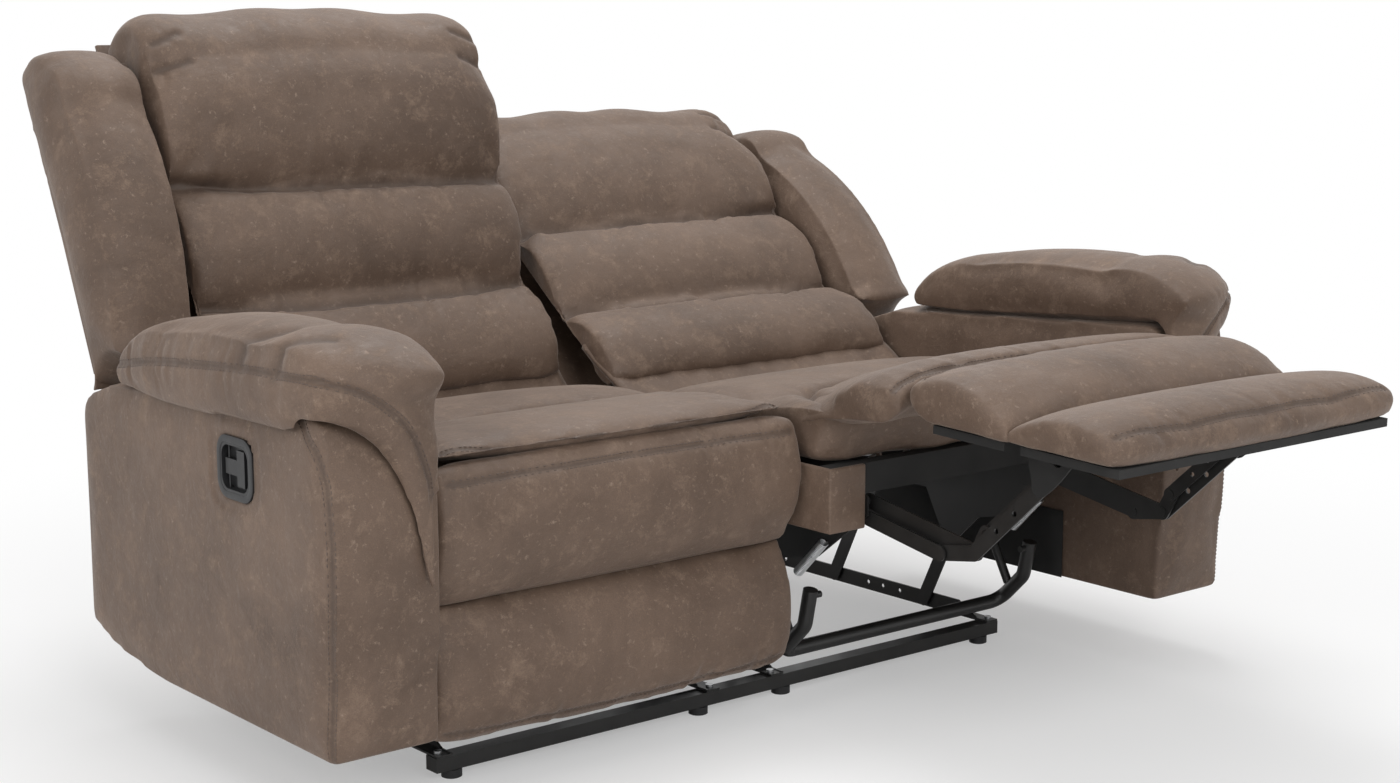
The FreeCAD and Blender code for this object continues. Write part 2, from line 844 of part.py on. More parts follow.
nodes = {
    "base_rails": group(make_rails()),
    "front_cross_bar": group([make_bar(FRONT_BAR_Y)]),
    "rear_cross_bar": group([make_bar(REAR_BAR_Y)]),
    "glide_feet": group(make_feet()),
    "base_bolts": group(make_base_bolts()),
}
for name, pieces, pose in make_unit():
    shape = group(pieces)
    nodes["left_" + name] = shape.mirror(V(0, 0, 0), V(1, 0, 0))
    opened = shape.copy()
    pose(opened)
    nodes["right_" + name] = opened

# The origin is on the floor, under the middle of the sofa as it stands in the photograph.
reach = [shape.optimalBoundingBox(False, False) for shape in nodes.values()]
low = min(extent.YMin for extent in reach)
high = max(extent.YMax for extent in reach)
to_origin = -(low + high) / 2
for name, shape in nodes.items():
    shape.translate(V(0, to_origin, 0))
    shape.exportStep("parts/" + name + ".step")
    if not shape.isValid():
        print("invalid", name)
print("depth", round(high - low, 1), "shift", to_origin, "nodes", len(nodes))
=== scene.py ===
import bmesh
import bpy
import json
import math
from mathutils import Matrix, Vector
from mathutils.bvhtree import BVHTree
import numpy as np


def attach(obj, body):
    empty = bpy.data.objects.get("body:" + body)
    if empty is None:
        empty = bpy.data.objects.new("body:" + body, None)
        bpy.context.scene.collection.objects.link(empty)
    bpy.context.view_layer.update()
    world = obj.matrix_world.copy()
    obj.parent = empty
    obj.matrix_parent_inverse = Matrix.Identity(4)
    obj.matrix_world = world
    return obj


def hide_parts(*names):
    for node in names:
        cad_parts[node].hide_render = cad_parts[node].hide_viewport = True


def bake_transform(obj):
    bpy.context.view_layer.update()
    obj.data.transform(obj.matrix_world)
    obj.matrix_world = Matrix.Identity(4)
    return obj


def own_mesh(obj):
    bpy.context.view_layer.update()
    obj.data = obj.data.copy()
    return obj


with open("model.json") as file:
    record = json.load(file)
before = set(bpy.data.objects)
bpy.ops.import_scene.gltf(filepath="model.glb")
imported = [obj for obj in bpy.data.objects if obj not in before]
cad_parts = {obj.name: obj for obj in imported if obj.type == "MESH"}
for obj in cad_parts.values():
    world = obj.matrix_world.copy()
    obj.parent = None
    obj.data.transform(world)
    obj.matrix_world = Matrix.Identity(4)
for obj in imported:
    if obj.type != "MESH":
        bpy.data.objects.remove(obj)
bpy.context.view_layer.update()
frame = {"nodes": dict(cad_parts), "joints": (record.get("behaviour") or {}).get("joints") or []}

nodes = frame["nodes"]
bpy.ops.object.select_all(action="DESELECT")


# Camera.
# It stands to the left of the sofa, a metre above the floor, and looks down a little.
camera_data = bpy.data.cameras.new("camera")
camera_data.lens = 57.65
camera_data.sensor_width = 36.0
camera = bpy.data.objects.new("camera", camera_data)
camera.location = (-2.046, -2.4883, 1.0)
camera.rotation_euler = (math.radians(80.3), 0.0, math.radians(-39.4))
bpy.context.scene.collection.objects.link(camera)
bpy.context.scene.camera = camera
bpy.context.scene.view_settings.view_transform = "Standard"


# Studio.
# A pale floor that keeps the shadow, a white surround, and large soft lamps in front, at the left and above.
def shader(name):
    material = bpy.data.materials.new(name)
    material.use_nodes = True
    tree = material.node_tree
    return material, tree, tree.nodes["Principled BSDF"]


def node(tree, kind, **settings):
    made = tree.nodes.new(kind)
    for key, value in settings.items():
        if key in made.inputs:
            made.inputs[key].default_value = value
        else:
            setattr(made, key, value)
    return made


floor_size = 30.0
bpy.ops.mesh.primitive_plane_add(size=floor_size, location=(0, 0, 0))
floor = bpy.context.object
floor.name = "studio_floor"
floor_material, tree, principled = shader("pale_floor")
principled.inputs["Base Color"].default_value = (0.93, 0.93, 0.93, 1)
principled.inputs["Roughness"].default_value = 0.9
principled.inputs["Specular IOR Level"].default_value = 0.1
white = node(tree, "ShaderNodeEmission", Strength=1.0)
coords = tree.nodes.new("ShaderNodeTexCoord")
distance = node(tree, "ShaderNodeVectorMath", operation="LENGTH")
fade = tree.nodes.new("ShaderNodeMapRange")
fade.inputs["From Min"].default_value = 0.7
fade.inputs["From Max"].default_value = 2.2
fade.inputs["To Min"].default_value = 0.35
fade.interpolation_type = "SMOOTHSTEP"
ray = tree.nodes.new("ShaderNodeLightPath")
either = node(tree, "ShaderNodeMath", operation="MULTIPLY")
mix = tree.nodes.new("ShaderNodeMixShader")
tree.links.new(coords.outputs["Object"], distance.inputs[0])
tree.links.new(distance.outputs["Value"], fade.inputs["Value"])
tree.links.new(fade.outputs["Result"], either.inputs[0])
tree.links.new(ray.outputs["Is Camera Ray"], either.inputs[1])
tree.links.new(either.outputs[0], mix.inputs[0])
tree.links.new(principled.outputs[0], mix.inputs[1])
tree.links.new(white.outputs[0], mix.inputs[2])
tree.links.new(mix.outputs[0], tree.nodes["Material Output"].inputs["Surface"])
floor.data.materials.append(floor_material)

world = bpy.data.worlds.new("white_surround")
bpy.context.scene.world = world
world.use_nodes = True
tree = world.node_tree
background = tree.nodes["Background"]
background.inputs["Color"].default_value = (1, 1, 1, 1)
background.inputs["Strength"].default_value = 0.5
seen = node(tree, "ShaderNodeBackground", Strength=1.0)
seen.inputs["Color"].default_value = (1, 1, 1, 1)
ray = tree.nodes.new("ShaderNodeLightPath")
either = node(tree, "ShaderNodeMath", operation="MAXIMUM")
mix = tree.nodes.new("ShaderNodeMixShader")
tree.links.new(ray.outputs["Is Camera Ray"], either.inputs[0])
tree.links.new(ray.outputs["Is Glossy Ray"], either.inputs[1])
tree.links.new(either.outputs[0], mix.inputs[0])
tree.links.new(background.outputs[0], mix.inputs[1])
tree.links.new(seen.outputs[0], mix.inputs[2])
tree.links.new(mix.outputs[0], tree.nodes["World Output"].inputs["Surface"])


def soft_lamp(name, place, aim, size, power):
    data = bpy.data.lights.new(name, "AREA")
    data.shape = "SQUARE"
    data.size = size
    data.energy = power
    lamp = bpy.data.objects.new(name, data)
    lamp.location = place
    lamp.rotation_euler = (Vector(aim) - Vector(place)).to_track_quat("-Z", "Y").to_euler()
    bpy.context.scene.collection.objects.link(lamp)


soft_lamp("lamp_front", (-1.2, -4.0, 3.0), (0, 0, 0.5), 2.5, 90.0)
soft_lamp("lamp_left", (-4.2, -0.6, 2.2), (0, 0, 0.5), 2.5, 55.0)
soft_lamp("lamp_above", (0.6, 0.8, 3.6), (0, 0, 0.4), 2.0, 60.0)


# Black steel of the base and the mechanisms.
# The rails, tubes, plates and links are bent and punched sheet, sprayed semi-gloss black after welding.
black_steel, tree, principled = shader("black_painted_steel")
coords = tree.nodes.new("ShaderNodeTexCoord")
spray = node(tree, "ShaderNodeTexNoise", Scale=900.0, Detail=3.0)
smears = node(tree, "ShaderNodeTexNoise", Scale=28.0, Detail=5.0, Roughness=0.6)
shine = tree.nodes.new("ShaderNodeMapRange")
shine.inputs["To Min"].default_value = 0.26
shine.inputs["To Max"].default_value = 0.5
tint = tree.nodes.new("ShaderNodeValToRGB")
tint.color_ramp.elements[0].color = (0.008, 0.008, 0.008, 1)
tint.color_ramp.elements[1].color = (0.022, 0.021, 0.02, 1)
relief = node(tree, "ShaderNodeBump", Strength=0.12, Distance=0.0004)
for texture in (spray, smears):
    tree.links.new(coords.outputs["Object"], texture.inputs["Vector"])
tree.links.new(smears.outputs["Fac"], shine.inputs["Value"])
tree.links.new(smears.outputs["Fac"], tint.inputs["Fac"])
tree.links.new(tint.outputs["Color"], principled.inputs["Base Color"])
tree.links.new(shine.outputs["Result"], principled.inputs["Roughness"])
tree.links.new(spray.outputs["Fac"], relief.inputs["Height"])
tree.links.new(relief.outputs["Normal"], principled.inputs["Normal"])


def dress(name, material):
    mesh = nodes[name].data
    mesh.materials.clear()
    mesh.materials.append(material)


sides = ("left_", "right_")
for name in ("base_rails", "front_cross_bar", "rear_cross_bar"):
    dress(name, black_steel)
steel_parts = (
    "front_swing_links", "rear_swing_links", "cross_tube", "side_plates",
    "link_a", "link_b", "link_c", "link_d", "back_brackets",
)
for side in sides:
    for name in steel_parts:
        dress(side + name, black_steel)


# Glides.
# Injection-moulded black plastic with a fine matt grain, the same as in the handles and their cups.
black_plastic, tree, principled = shader("moulded_black_plastic")
coords = tree.nodes.new("ShaderNodeTexCoord")
grain = node(tree, "ShaderNodeTexVoronoi", Scale=1400.0)
relief = node(tree, "ShaderNodeBump", Strength=0.25, Distance=0.0003)
scuff = node(tree, "ShaderNodeTexNoise", Scale=60.0, Detail=4.0)
dull = tree.nodes.new("ShaderNodeMapRange")
dull.inputs["To Min"].default_value = 0.32
dull.inputs["To Max"].default_value = 0.55
principled.inputs["Base Color"].default_value = (0.014, 0.014, 0.015, 1)
tree.links.new(coords.outputs["Object"], grain.inputs["Vector"])
tree.links.new(coords.outputs["Object"], scuff.inputs["Vector"])
tree.links.new(scuff.outputs["Fac"], dull.inputs["Value"])
tree.links.new(dull.outputs["Result"], principled.inputs["Roughness"])
tree.links.new(grain.outputs["Distance"], relief.inputs["Height"])
tree.links.new(relief.outputs["Normal"], principled.inputs["Normal"])
dress("glide_feet", black_plastic)


# Bolts and extension springs.
# Bright zinc-plated steel, a little cloudy.
zinc, tree, principled = shader("zinc_plated_steel")
coords = tree.nodes.new("ShaderNodeTexCoord")
cloud = node(tree, "ShaderNodeTexNoise", Scale=120.0, Detail=4.0)
dull = tree.nodes.new("ShaderNodeMapRange")
dull.inputs["To Min"].default_value = 0.2
dull.inputs["To Max"].default_value = 0.42
tint = tree.nodes.new("ShaderNodeValToRGB")
tint.color_ramp.elements[0].color = (0.42, 0.43, 0.44, 1)
tint.color_ramp.elements[1].color = (0.66, 0.67, 0.68, 1)
principled.inputs["Metallic"].default_value = 1.0
tree.links.new(coords.outputs["Object"], cloud.inputs["Vector"])
tree.links.new(cloud.outputs["Fac"], dull.inputs["Value"])
tree.links.new(cloud.outputs["Fac"], tint.inputs["Fac"])
tree.links.new(tint.outputs["Color"], principled.inputs["Base Color"])
tree.links.new(dull.outputs["Result"], principled.inputs["Roughness"])
dress("base_bolts", zinc)
for side in sides:
    dress(side + "tension_springs", zinc)
    dress(side + "seat_springs", zinc)


# Wooden frames.
# Sawn beech and plywood, with the grain running across the sofa.
timber, tree, principled = shader("sawn_timber")
coords = tree.nodes.new("ShaderNodeTexCoord")
stretch = tree.nodes.new("ShaderNodeMapping")
stretch.inputs["Scale"].default_value = (4.0, 60.0, 60.0)
rings = node(tree, "ShaderNodeTexNoise", Scale=3.0, Detail=6.0, Distortion=0.6)
tint = tree.nodes.new("ShaderNodeValToRGB")
tint.color_ramp.elements[0].color = (0.3, 0.19, 0.1, 1)
tint.color_ramp.elements[1].color = (0.55, 0.38, 0.22, 1)
relief = node(tree, "ShaderNodeBump", Strength=0.2, Distance=0.0006)
principled.inputs["Roughness"].default_value = 0.75
tree.links.new(coords.outputs["Object"], stretch.inputs["Vector"])
tree.links.new(stretch.outputs["Vector"], rings.inputs["Vector"])
tree.links.new(rings.outputs["Fac"], tint.inputs["Fac"])
tree.links.new(tint.outputs["Color"], principled.inputs["Base Color"])
tree.links.new(rings.outputs["Fac"], relief.inputs["Height"])
tree.links.new(relief.outputs["Normal"], principled.inputs["Normal"])
for side in sides:
    for name in ("arm_frame", "back_frame"):
        dress(side + name, timber)


# Boards of the footrest and boxes of the seats.
# Plywood and timber covered with thin black non-woven cloth.
black_cloth, tree, principled = shader("black_lining_cloth")
coords = tree.nodes.new("ShaderNodeTexCoord")
fibres = node(tree, "ShaderNodeTexNoise", Scale=520.0, Detail=5.0, Roughness=0.7)
folds = node(tree, "ShaderNodeTexNoise", Scale=14.0, Detail=2.0)
tint = tree.nodes.new("ShaderNodeValToRGB")
tint.color_ramp.elements[0].color = (0.006, 0.006, 0.006, 1)
tint.color_ramp.elements[1].color = (0.028, 0.027, 0.026, 1)
relief = node(tree, "ShaderNodeBump", Strength=0.4, Distance=0.0006)
principled.inputs["Roughness"].default_value = 0.95
for texture in (fibres, folds):
    tree.links.new(coords.outputs["Object"], texture.inputs["Vector"])
tree.links.new(folds.outputs["Fac"], tint.inputs["Fac"])
tree.links.new(tint.outputs["Color"], principled.inputs["Base Color"])
tree.links.new(fibres.outputs["Fac"], relief.inputs["Height"])
tree.links.new(relief.outputs["Normal"], principled.inputs["Normal"])
for side in sides:
    for name in ("footrest_board", "legrest_board", "seat_box"):
        dress(side + name, black_cloth)


# Upholstery fabric.
# Brushed microfibre with a suede face: taupe brown, mottled, with paler rubbed flecks, and painted shade in the
# seam creases.
# A point attribute of painted seam shade is 1 in a seam and fades away from it; it darkens the colour there.
suede, tree, principled = shader("brushed_suede_fabric")
coords = tree.nodes.new("ShaderNodeTexCoord")
patches = node(tree, "ShaderNodeTexNoise", Scale=5.5, Detail=8.0, Roughness=0.7, Distortion=0.3)
rubs = node(tree, "ShaderNodeTexNoise", Scale=24.0, Detail=10.0, Roughness=0.8, Distortion=0.3)
flecks = node(tree, "ShaderNodeTexNoise", Scale=110.0, Detail=6.0, Roughness=0.75, Distortion=0.3)
nap = node(tree, "ShaderNodeTexNoise", Scale=620.0, Detail=4.0, Roughness=0.7)
for texture in (patches, rubs, flecks, nap):
    tree.links.new(coords.outputs["Object"], texture.inputs["Vector"])
ground = tree.nodes.new("ShaderNodeValToRGB")
ground.color_ramp.elements[0].position = 0.32
ground.color_ramp.elements[0].color = (0.088, 0.055, 0.037, 1)
ground.color_ramp.elements[1].position = 0.68
ground.color_ramp.elements[1].color = (0.166, 0.11, 0.078, 1)
tree.links.new(patches.outputs["Fac"], ground.inputs["Fac"])


def level(source, low, high):
    ramp = tree.nodes.new("ShaderNodeMapRange")
    ramp.inputs["From Min"].default_value = low
    ramp.inputs["From Max"].default_value = high
    tree.links.new(source, ramp.inputs["Value"])
    return ramp.outputs["Result"]


def mixed(factor, first, second_colour):
    blend = tree.nodes.new("ShaderNodeMix")
    blend.data_type = "RGBA"
    tree.links.new(factor, blend.inputs["Factor"])
    tree.links.new(first, blend.inputs["A"])
    blend.inputs["B"].default_value = second_colour
    return blend.outputs["Result"]


def times(first, second):
    product = node(tree, "ShaderNodeMath", operation="MULTIPLY")
    tree.links.new(first, product.inputs[0])
    product.inputs[1].default_value = second
    return product.outputs[0]


rubbed = mixed(times(level(rubs.outputs["Fac"], 0.52, 0.72), 0.75), ground.outputs["Color"], (0.27, 0.19, 0.138, 1))
flecked = mixed(times(level(flecks.outputs["Fac"], 0.58, 0.7), 0.6), rubbed, (0.34, 0.25, 0.19, 1))
napped = mixed(times(level(nap.outputs["Fac"], 0.62, 0.4), 0.3), flecked, (0.06, 0.04, 0.03, 1))
# Painted shade: the colour is darkened along the drawn-in seams, where shade falls in the crease.
painted_seam_shade = tree.nodes.new("ShaderNodeAttribute")
painted_seam_shade.attribute_name = "painted_seam_shade"
seam_shaded = mixed(times(painted_seam_shade.outputs["Fac"], 0.6), napped, (0.045, 0.03, 0.023, 1))
tree.links.new(seam_shaded, principled.inputs["Base Color"])
worn = tree.nodes.new("ShaderNodeMapRange")
worn.inputs["From Min"].default_value = 0.35
worn.inputs["From Max"].default_value = 0.65
worn.inputs["To Min"].default_value = 0.5
worn.inputs["To Max"].default_value = 0.74
tree.links.new(rubs.outputs["Fac"], worn.inputs["Value"])
tree.links.new(worn.outputs["Result"], principled.inputs["Roughness"])
principled.inputs["Specular IOR Level"].default_value = 0.4
principled.inputs["Sheen Weight"].default_value = 0.25
principled.inputs["Sheen Roughness"].default_value = 0.4
principled.inputs["Sheen Tint"].default_value = (0.75, 0.66, 0.6, 1)
puckers = node(tree, "ShaderNodeTexNoise", Scale=26.0, Detail=6.0, Roughness=0.66, Distortion=0.5)
tree.links.new(coords.outputs["Object"], puckers.inputs["Vector"])
coarse = node(tree, "ShaderNodeBump", Strength=0.5, Distance=0.004)
fine = node(tree, "ShaderNodeBump", Strength=0.35, Distance=0.0006)
tree.links.new(puckers.outputs["Fac"], coarse.inputs["Height"])
tree.links.new(nap.outputs["Fac"], fine.inputs["Height"])
tree.links.new(coarse.outputs["Normal"], fine.inputs["Normal"])
tree.links.new(fine.outputs["Normal"], principled.inputs["Normal"])


# How the stuffed pieces are made.
# Both units are alike, so each piece is made once, on the closed right-hand unit, with y = 0 at the front
# of its arm. A copy of the piece's solid is remeshed, drawn in a little, blown up as cloth and smoothed.
# Only the outward part of the cloth's movement is kept, so that the edges of neighbours stay together.
CLOTH_FRAMES = 12
SWING_PIVOT_Y = 0.265
swing = [joint for joint in frame["joints"] if joint["name"] == "left_front_swing_hinge"][0]
UNIT_Y = swing["pos_m"][1] - SWING_PIVOT_Y
UNIT_TRAVEL = 0.13
SEAT_INNER, SEAT_OUTER = 0.0008, 0.5985


def activate(piece):
    bpy.ops.object.select_all(action="DESELECT")
    bpy.context.view_layer.objects.active = piece
    piece.select_set(True)


def piece_from(mesh, name):
    piece = bpy.data.objects.new(name, mesh)
    bpy.context.scene.collection.objects.link(piece)
    activate(piece)
    return piece


def places(mesh):
    flat = np.empty(len(mesh.vertices) * 3)
    mesh.vertices.foreach_get("co", flat)
    return flat.reshape(-1, 3)


def normals(mesh):
    flat = np.empty(len(mesh.vertices) * 3, np.float32)
    mesh.vertices.foreach_get("normal", flat)
    return flat.reshape(-1, 3).astype(float)


def put(mesh, points):
    mesh.vertices.foreach_set("co", points.ravel())
    mesh.update()


def apply_modifier(piece, kind, **settings):
    activate(piece)
    modifier = piece.modifiers.new(kind.lower(), kind)
    for key, value in settings.items():
        setattr(modifier, key, value)
    bpy.ops.object.modifier_apply(modifier=modifier.name)


def unit_solid(name):
    # A copy of the left unit's solid, turned into the closed right-hand unit.
    mesh = nodes["left_" + name].data.copy()
    mesh.materials.clear()
    mesh.transform(Matrix.Translation((0, -UNIT_Y, 0)))
    mesh.transform(Matrix.Diagonal((-1, 1, 1, 1)))
    mesh.flip_normals()
    cleaner = bmesh.new()
    cleaner.from_mesh(mesh)
    bmesh.ops.remove_doubles(cleaner, verts=cleaner.verts, dist=1e-5)
    cleaner.to_mesh(mesh)
    cleaner.free()
    return mesh


def stuffed(name, mesh, inset, cap, low_x, high_x, voxel=0.008, pressure=4.0, grow=0.02, smoothing=3):
    piece = piece_from(mesh, name)
    apply_modifier(piece, "REMESH", mode="VOXEL", voxel_size=voxel)
    mesh = piece.data
    start = places(mesh) - normals(mesh) * inset
    put(mesh, start)
    cloth = piece.modifiers.new("cloth", "CLOTH")
    cloth.settings.quality = 5
    cloth.settings.mass = 0.3
    cloth.settings.tension_stiffness = 18.0
    cloth.settings.compression_stiffness = 18.0
    cloth.settings.bending_stiffness = 0.6
    cloth.settings.use_pressure = True
    cloth.settings.uniform_pressure_force = pressure
    cloth.settings.shrink_min = -grow
    cloth.settings.effector_weights.gravity = 0.0
    cloth.collision_settings.use_collision = False
    cloth.collision_settings.use_self_collision = False
    scene = bpy.context.scene
    for number in range(1, CLOTH_FRAMES + 1):
        scene.frame_set(number)
    blown = piece.evaluated_get(bpy.context.evaluated_depsgraph_get())
    moved = places(blown.to_mesh()) - start
    blown.to_mesh_clear()
    outward = normals(mesh)
    swell = np.maximum((moved * outward).sum(1), 0.0)
    moved = outward * (cap * (1 - np.exp(-swell / cap)))[:, None]
    piece.modifiers.remove(cloth)
    scene.frame_set(1)
    start = start + moved
    start[:, 0] = np.clip(start[:, 0], low_x, high_x)
    put(mesh, start)
    apply_modifier(piece, "SMOOTH", factor=0.5, iterations=smoothing)
    apply_modifier(piece, "SUBSURF", levels=1, render_levels=1)
    bpy.ops.object.shade_smooth()
    piece.data.materials.append(suede)
    return piece


# Where a piece stands.
# The left unit is the mirror image of the closed one. On the right one the whole carriage has come forward,
# the back has leaned on its pivot, and the footrest has swung out on its links.
TURNS = {
    "carriage": (),
    "back": ((0.573, 0.398, -26.3),),
    "footrest": ((0.135, 0.275, -88.0), (0.251, 0.167, 125.0), (0.102, 0.317, -125.0)),
}


def standing(side, body):
    if side == "left_":
        return Matrix.Translation((0, UNIT_Y, 0)) @ Matrix.Diagonal((-1, 1, 1, 1))
    whole = Matrix.Identity(4)
    for pivot_y, pivot_z, degrees in TURNS[body]:
        there = Matrix.Translation((0, pivot_y, pivot_z))
        back = Matrix.Translation((0, -pivot_y, -pivot_z))
        whole = there @ Matrix.Rotation(math.radians(degrees), 4, "X") @ back @ whole
    return Matrix.Translation((0, UNIT_Y - UNIT_TRAVEL, 0)) @ whole


def settle(piece, side, body):
    # Stands a finished piece where it belongs, on its body.
    piece.data.transform(standing(side, body))
    if side == "left_":
        piece.data.flip_normals()
    piece.data.update()
    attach(piece, side + body)
    return piece


def copy_of(piece, name):
    return piece_from(piece.data.copy(), name)


def drop(piece):
    bpy.data.objects.remove(piece)


# How seams are sewn.
# A seam is a smooth run of points, pulled onto the surface. The surface is drawn in along it, gathers run away from
# it, and painted shade darkens the fabric along it, kept in a point attribute.
def course(corners, step=0.006):
    points = [np.array(c, float) for c in corners]
    points = [2 * points[0] - points[1]] + points + [2 * points[-1] - points[-2]]
    run = []
    for a, b, c, d in zip(points, points[1:], points[2:], points[3:]):
        count = max(2, int(np.linalg.norm(c - b) / step))
        for k in range(count):
            t = k / count
            run.append(0.5 * (2 * b + (c - a) * t + (2 * a - 5 * b + 4 * c - d) * t ** 2
                              + (3 * b - a - 3 * c + d) * t ** 3))
    run.append(points[-2])
    return run


def line_on(piece, corners, pull, reach=0.12):
    tree = BVHTree.FromObject(piece, bpy.context.evaluated_depsgraph_get())
    towards = Vector(pull).normalized()
    laid = []
    for point in course(corners):
        hit, normal = tree.ray_cast(Vector(point) - towards * reach, towards, reach * 2)[:2]
        if hit is not None:
            laid.append((hit, normal))
    return laid


EASED = 8


def sew(piece, lines, depth=0.005, width=0.007, gather=0.0, wave=0.03, spread=0.035, seed=1):
    mesh = piece.data
    points = places(mesh)
    outward = normals(mesh)
    chance = np.random.RandomState(seed)
    attribute = mesh.attributes.get("painted_seam_shade")
    if attribute is None:
        attribute = mesh.attributes.new("painted_seam_shade", "FLOAT", "POINT")
    painted_shade = np.empty(len(points), np.float32)
    attribute.data.foreach_get("value", painted_shade)
    for line in lines:
        if len(line) < 2:
            continue
        path = np.array([list(hit) for hit, normal in line])
        facing = np.array([list(normal) for hit, normal in line])
        facing = np.array([facing[max(0, k - EASED):k + EASED + 1].mean(0) for k in range(len(facing))])
        facing /= np.linalg.norm(facing, axis=1)[:, None]
        low, high = path.min(0) - spread * 2, path.max(0) + spread * 2
        near = np.nonzero(((points > low) & (points < high)).all(1))[0]
        if not len(near):
            continue
        local = points[near]
        gap = np.full(len(near), 1e9)
        run = np.zeros(len(near))
        nearest = np.zeros(len(near), int)
        passed = 0.0
        for number, (a, b) in enumerate(zip(path[:-1], path[1:])):
            along = b - a
            length = np.linalg.norm(along)
            t = np.clip((local - a) @ along / max(length ** 2, 1e-12), 0, 1)
            d = np.linalg.norm(local - (a + t[:, None] * along), axis=1)
            closer = d < gap
            gap[closer] = d[closer]
            nearest[closer] = number
            run[closer] = passed + t[closer] * length
            passed += length
        push = -depth * np.exp(-(gap / width) ** 2)
        if gather:
            # Each gather has its own place, width, length and strength.
            folds = np.zeros(len(near))
            for number in range(int(passed / wave * 2) + 1):
                place = chance.uniform(0, passed)
                thick = wave * chance.uniform(0.12, 0.3)
                reach = spread * chance.uniform(0.35, 1.3)
                lean = chance.uniform(-0.35, 0.35)
                strength = chance.uniform(-1.0, 0.8)
                folds += strength * np.exp(-((run - place + lean * gap) / thick) ** 2) * np.exp(-(gap / reach) ** 2)
            push += gather * folds * (1 - np.exp(-(gap / 0.004) ** 2))
        inward = facing[nearest]
        push *= np.clip((outward[near] * inward).sum(1) * 1.4, 0, 1)
        points[near] += inward * push[:, None]
        # Painted shade: the fabric's colour is darkened near the seam line, where it is drawn in.
        painted_shade[near] = np.maximum(painted_shade[near], np.exp(-(gap / (width * 0.8)) ** 2))
    put(mesh, points)
    attribute.data.foreach_set("value", painted_shade)


# Thread.
# Bonded polyester, a shade darker than the fabric, in stitches 4.5 mm long on both sides of each seam.
thread, tree, principled = shader("sewing_thread")
coords = tree.nodes.new("ShaderNodeTexCoord")
twist = node(tree, "ShaderNodeTexNoise", Scale=1800.0, Detail=2.0)
tint = tree.nodes.new("ShaderNodeValToRGB")
tint.color_ramp.elements[0].color = (0.06, 0.042, 0.033, 1)
tint.color_ramp.elements[1].color = (0.13, 0.094, 0.076, 1)
principled.inputs["Roughness"].default_value = 0.55
tree.links.new(coords.outputs["Object"], twist.inputs["Vector"])
tree.links.new(twist.outputs["Fac"], tint.inputs["Fac"])
tree.links.new(tint.outputs["Color"], principled.inputs["Base Color"])
STITCH = 0.0045
THREAD_RADIUS = 0.0006


def stitched(name, piece, lines, offsets=(0.004, -0.004)):
    # Stitches on both sides of the seams, as one piece.
    tree = BVHTree.FromObject(piece, bpy.context.evaluated_depsgraph_get())
    made = bmesh.new()
    for line in lines:
        for offset in offsets:
            carried = 0.0
            for (p, n), (q, _) in zip(line[:-1], line[1:]):
                along = q - p
                carried += along.length
                if carried < STITCH * 1.35 or along.length < 1e-5:
                    continue
                carried = 0.0
                along.normalize()
                beside = n.cross(along).normalized() * offset
                hit, normal = tree.find_nearest(p + beside)[:2]
                if hit is None:
                    continue
                middle = hit + normal * THREAD_RADIUS * 0.4
                across = normal.cross(along).normalized() * THREAD_RADIUS
                up = normal * THREAD_RADIUS
                rings = []
                for end, sink in ((-0.5, 0.9), (-0.25, 0.0), (0.25, 0.0), (0.5, 0.9)):
                    centre = middle + along * STITCH * end - up * sink
                    rings.append([made.verts.new(centre + v) for v in (across, up, -across, -up)])
                for first, second in zip(rings[:-1], rings[1:]):
                    for k in range(4):
                        made.faces.new((first[k], first[k - 1], second[k - 1], second[k]))
                made.faces.new(rings[0])
                made.faces.new(rings[-1][::-1])
    bmesh.ops.recalc_face_normals(made, faces=made.faces)
    mesh = bpy.data.meshes.new(name)
    made.to_mesh(mesh)
    made.free()
    threads = piece_from(mesh, name)
    bpy.ops.object.shade_smooth()
    mesh.materials.append(thread)
    return threads


DOWN = (0, 0, -1)
FORWARD = (0, 1, 0)
INWARD = (-1, 0, 0)


# Arms.
# A padded fabric shell over a wooden frame, with a flat outer panel and a welted seam down its front edge.
ARM_SEAM = [
    (0.76, 0.085, 0.535), (0.76, 0.045, 0.512), (0.76, 0.012, 0.475),
    (0.76, -0.003, 0.42), (0.76, -0.006, 0.345), (0.76, 0.0, 0.22), (0.76, 0.006, 0.108),
]
HANDLE_CENTRE = (0.212, 0.437)
CUP_HALF = (0.0425, 0.0375)
ARM_INNER, ARM_OUTER = 0.602, 0.763
CUP_SEAT, CUP_FLOOR = 0.7605, 0.746
mesh = unit_solid("arm_cover")
hull = bmesh.new()
hull.from_mesh(mesh)
wrapped = bmesh.ops.convex_hull(hull, input=hull.verts)
kept = set(item for item in wrapped["geom"] if isinstance(item, bmesh.types.BMFace))
bmesh.ops.delete(hull, geom=[face for face in hull.faces if face not in kept], context="FACES_ONLY")
loose = [vert for vert in hull.verts if not vert.link_faces]
bmesh.ops.delete(hull, geom=loose, context="VERTS")
bmesh.ops.recalc_face_normals(hull, faces=hull.faces)
hull.to_mesh(mesh)
hull.free()
arm = stuffed("arm_shell", mesh, 0.004, 0.007, ARM_INNER, ARM_OUTER, voxel=0.009, pressure=2.5, grow=0.0)
points = places(arm.data)
dy = np.abs(points[:, 1] - HANDLE_CENTRE[0]) / CUP_HALF[0]
dz = np.abs(points[:, 2] - HANDLE_CENTRE[1]) / CUP_HALF[1]
square = (dy ** 4 + dz ** 4) ** 0.25
outer = points[:, 0] > 0.72
points[outer & (square < 1.5), 0] = CUP_SEAT
points[outer & (square < 1.02), 0] = CUP_FLOOR
put(arm.data, points)
